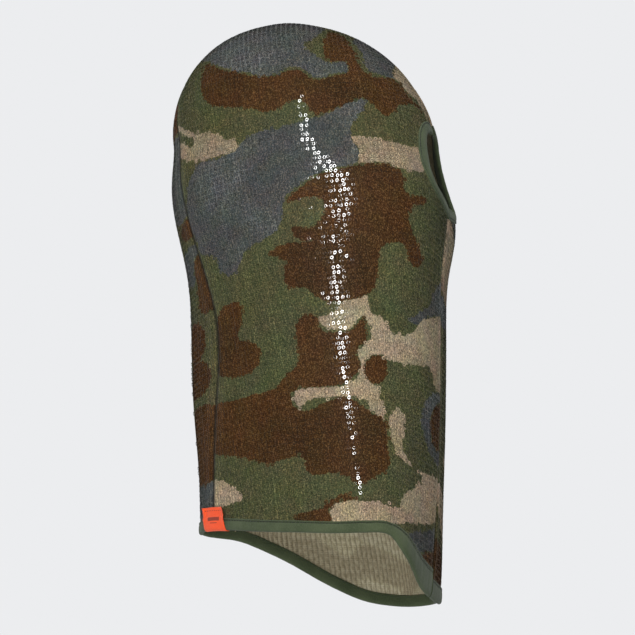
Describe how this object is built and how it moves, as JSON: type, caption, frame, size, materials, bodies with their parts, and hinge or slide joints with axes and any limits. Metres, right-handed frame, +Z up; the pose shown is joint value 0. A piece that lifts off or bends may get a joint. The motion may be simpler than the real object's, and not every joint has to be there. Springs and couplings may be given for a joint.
{
  "type": "balaclava face mask",
  "caption": "Pull-on knitted balaclava in a woodland pattern, with one bound eye opening, a long neck and a pointed bib with a bound edge.",
  "frame": {"origin": "point inside the crown where the top of the wearer's head touches the cloth", "axes": "+Z up through the crown, -Y the way the face looks, +X to the wearer's left"},
  "size_m": [0.175, 0.2304, 0.4912],
  "materials": {
    "camo_knit": "woodland-pattern warp knit set with small clear rings",
    "overlock_seam": "overlocked seam allowance, matt",
    "green_tape": "green elastic binding tape, matt",
    "orange_label": "orange woven label, slight sheen"
  },
  "bodies": {
    "root": {"right_side_panel": "camo_knit", "left_side_panel": "camo_knit", "back_gusset": "camo_knit", "crown_seam": "overlock_seam", "front_seam": "overlock_seam", "right_back_seam": "overlock_seam", "left_back_seam": "overlock_seam", "eye_binding_right": "green_tape", "eye_binding_left": "green_tape", "hem_binding_right": "green_tape", "hem_binding_left": "green_tape", "hem_label": "orange_label"}
  },
  "joints": []
}
